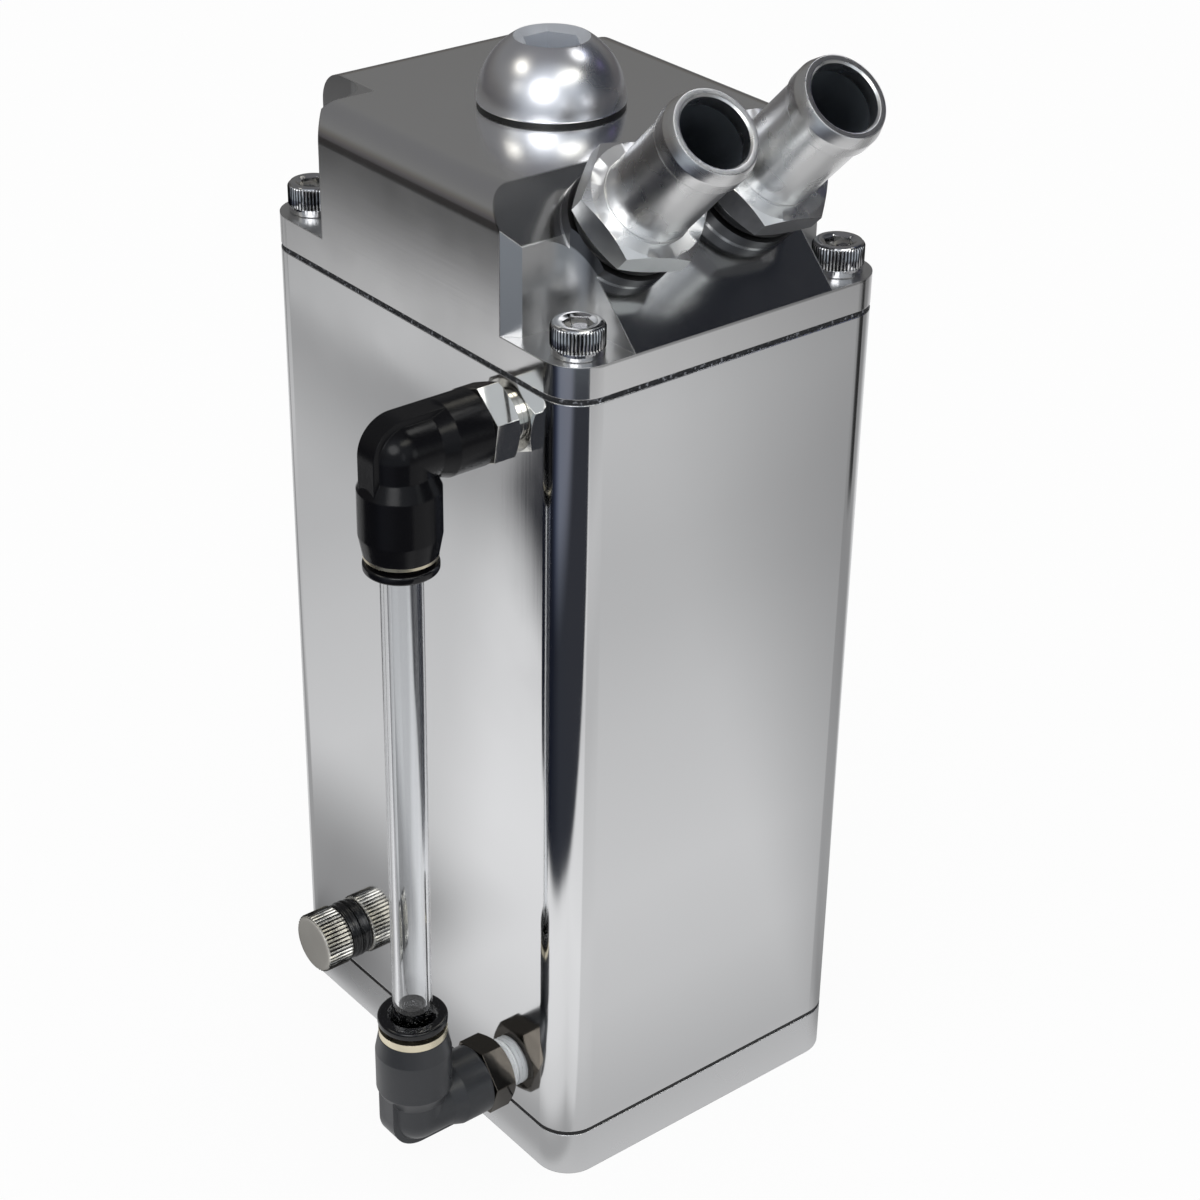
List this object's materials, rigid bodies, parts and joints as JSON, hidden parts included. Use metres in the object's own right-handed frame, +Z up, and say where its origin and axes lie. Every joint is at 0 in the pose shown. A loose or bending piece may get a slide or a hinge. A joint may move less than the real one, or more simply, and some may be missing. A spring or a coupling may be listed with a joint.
{
  "type": "oil catch can",
  "caption": "Polished aluminium oil catch can with a screwed lid, two angled hose barbs, a domed filler plug, a side sight tube and a drain plug.",
  "frame": {"origin": "middle of the base plate's underside", "axes": "+Z up along the tank, -Y the front with the sloping hose barbs, -X the side with the sight tube and the drain"},
  "size_m": [0.1064, 0.1119, 0.231],
  "materials": {
    "polished_aluminium": "polished",
    "chrome_steel": "polished",
    "turned_steel": "satin turned",
    "nickel_brass": "nickel plated",
    "black_nylon": "semi gloss",
    "black_rubber": "smooth",
    "gasket_fibre": "matt",
    "clear_plastic": "clear",
    "white_tape": "glossy"
  },
  "bodies": {
    "tank": {"body_tube": "polished_aluminium", "base_plate": "polished_aluminium", "base_gasket": "black_rubber", "base_screws": "chrome_steel", "lid": "polished_aluminium", "lid_gasket": "gasket_fibre", "lid_screws": "chrome_steel", "hose_barb_left": "polished_aluminium", "hose_barb_right": "polished_aluminium", "barb_oring_left": "black_rubber", "barb_oring_right": "black_rubber", "sight_tube": "clear_plastic", "thread_tape": "white_tape", "upper_stud": "nickel_brass", "upper_stud_oring": "black_rubber", "upper_elbow": "black_nylon", "upper_tube_seal": "black_rubber", "upper_grip_ring": "turned_steel", "upper_guide_ring": "nickel_brass", "lower_stud": "nickel_brass", "lower_stud_oring": "black_rubber", "lower_elbow": "black_nylon", "lower_tube_seal": "black_rubber", "lower_grip_ring": "turned_steel", "lower_guide_ring": "nickel_brass", "baffle_plate": "polished_aluminium", "baffle_screws": "chrome_steel"},
    "filler_rise": {"filler_seal": "black_rubber"},
    "filler": {"filler_plug": "chrome_steel"},
    "drain_draw": {"drain_washer": "black_rubber"},
    "drain": {"drain_knob": "turned_steel"},
    "upper_release": {"upper_release_ring": "black_nylon"},
    "lower_release": {"lower_release_ring": "black_nylon"}
  },
  "joints": [
    {"name": "filler_lift", "type": "slide", "parent": "tank", "child": "filler_rise", "axis": [0, 0, 1], "range_m": [0, 0.0105]},
    {"name": "filler_turn", "type": "hinge", "parent": "filler_rise", "child": "filler", "pos_m": [0, 0.006, 0.21], "axis": [0, 0, 1], "range_deg": [0, 2520]},
    {"name": "drain_out", "type": "slide", "parent": "tank", "child": "drain_draw", "axis": [-1, 0, 0], "range_m": [0, 0.009]},
    {"name": "drain_turn", "type": "hinge", "parent": "drain_draw", "child": "drain", "pos_m": [-0.0406, 0.029, 0.019], "axis": [-1, 0, 0], "range_deg": [0, 2160]},
    {"name": "upper_ring_press", "type": "slide", "parent": "tank", "child": "upper_release", "axis": [0, 0, 1], "range_m": [0, 0.001], "stiffness_N_per_m": 3000},
    {"name": "lower_ring_press", "type": "slide", "parent": "tank", "child": "lower_release", "axis": [0, 0, -1], "range_m": [0, 0.001], "stiffness_N_per_m": 3000}
  ],
  "couplings": [
    {"joint": "filler_turn", "follows": "filler_lift", "rad_per_m": 4188.8},
    {"joint": "drain_turn", "follows": "drain_out", "rad_per_m": 4188.8}
  ]
}
